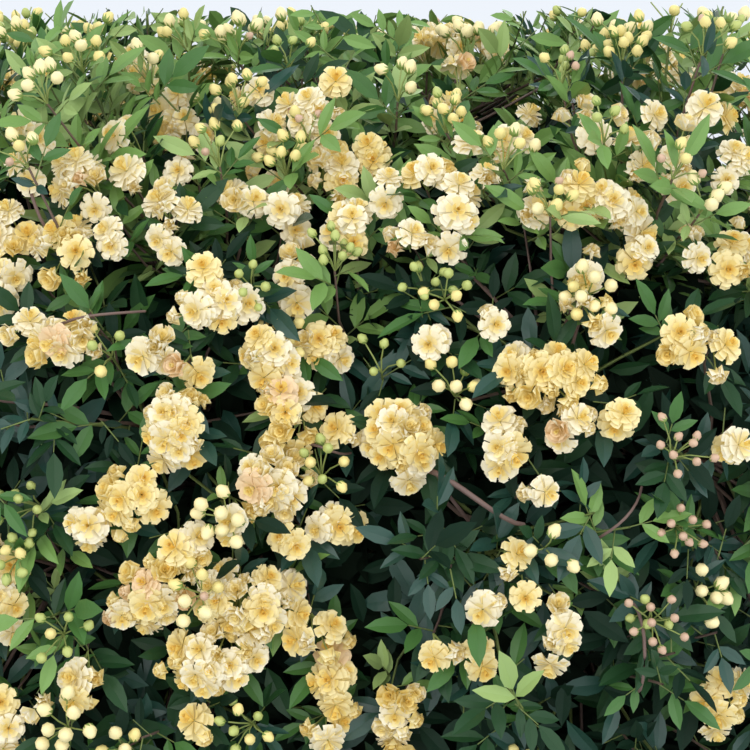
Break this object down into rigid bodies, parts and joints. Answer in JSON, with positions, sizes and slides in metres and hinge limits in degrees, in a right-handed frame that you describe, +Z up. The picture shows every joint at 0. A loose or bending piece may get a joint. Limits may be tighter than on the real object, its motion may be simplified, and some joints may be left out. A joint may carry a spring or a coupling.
{
  "type": "flowering rose bush",
  "caption": "Dense mounded rose bush on a short forked woody stem, covered in clusters of small double yellow flowers and narrow dark green leaves.",
  "frame": {"origin": "centre of the flat cut under the main stem, at ground level", "axes": "+Z up, the bush's front faces -Y, +X along its greatest width, to the right seen from the front"},
  "size_m": [1.1506, 0.8531, 1.0915],
  "materials": {
    "bark": "rough furrowed grey-brown bark",
    "cane": "smooth greenish-brown young bark",
    "foliage": "glossy green leaves under satin pale yellow petals"
  },
  "bodies": {
    "root": {"main_stem": "bark", "cane_low_1": "cane", "cane_low_2": "cane", "cane_low_3": "cane", "cane_low_4": "cane", "cane_low_5": "cane", "cane_low_6": "cane", "cane_low_7": "cane", "cane_high_1": "cane", "cane_high_2": "cane", "cane_high_3": "cane", "cane_high_4": "cane", "cane_high_5": "cane", "cane_high_6": "cane", "cane_top": "cane", "foliage_low_1": "foliage", "foliage_low_2": "foliage", "foliage_low_3": "foliage", "foliage_low_4": "foliage", "foliage_low_5": "foliage", "foliage_low_6": "foliage", "foliage_low_7": "foliage", "foliage_high_1": "foliage", "foliage_high_2": "foliage", "foliage_high_3": "foliage", "foliage_high_4": "foliage", "foliage_high_5": "foliage", "foliage_high_6": "foliage", "foliage_top": "foliage"}
  },
  "joints": []
}
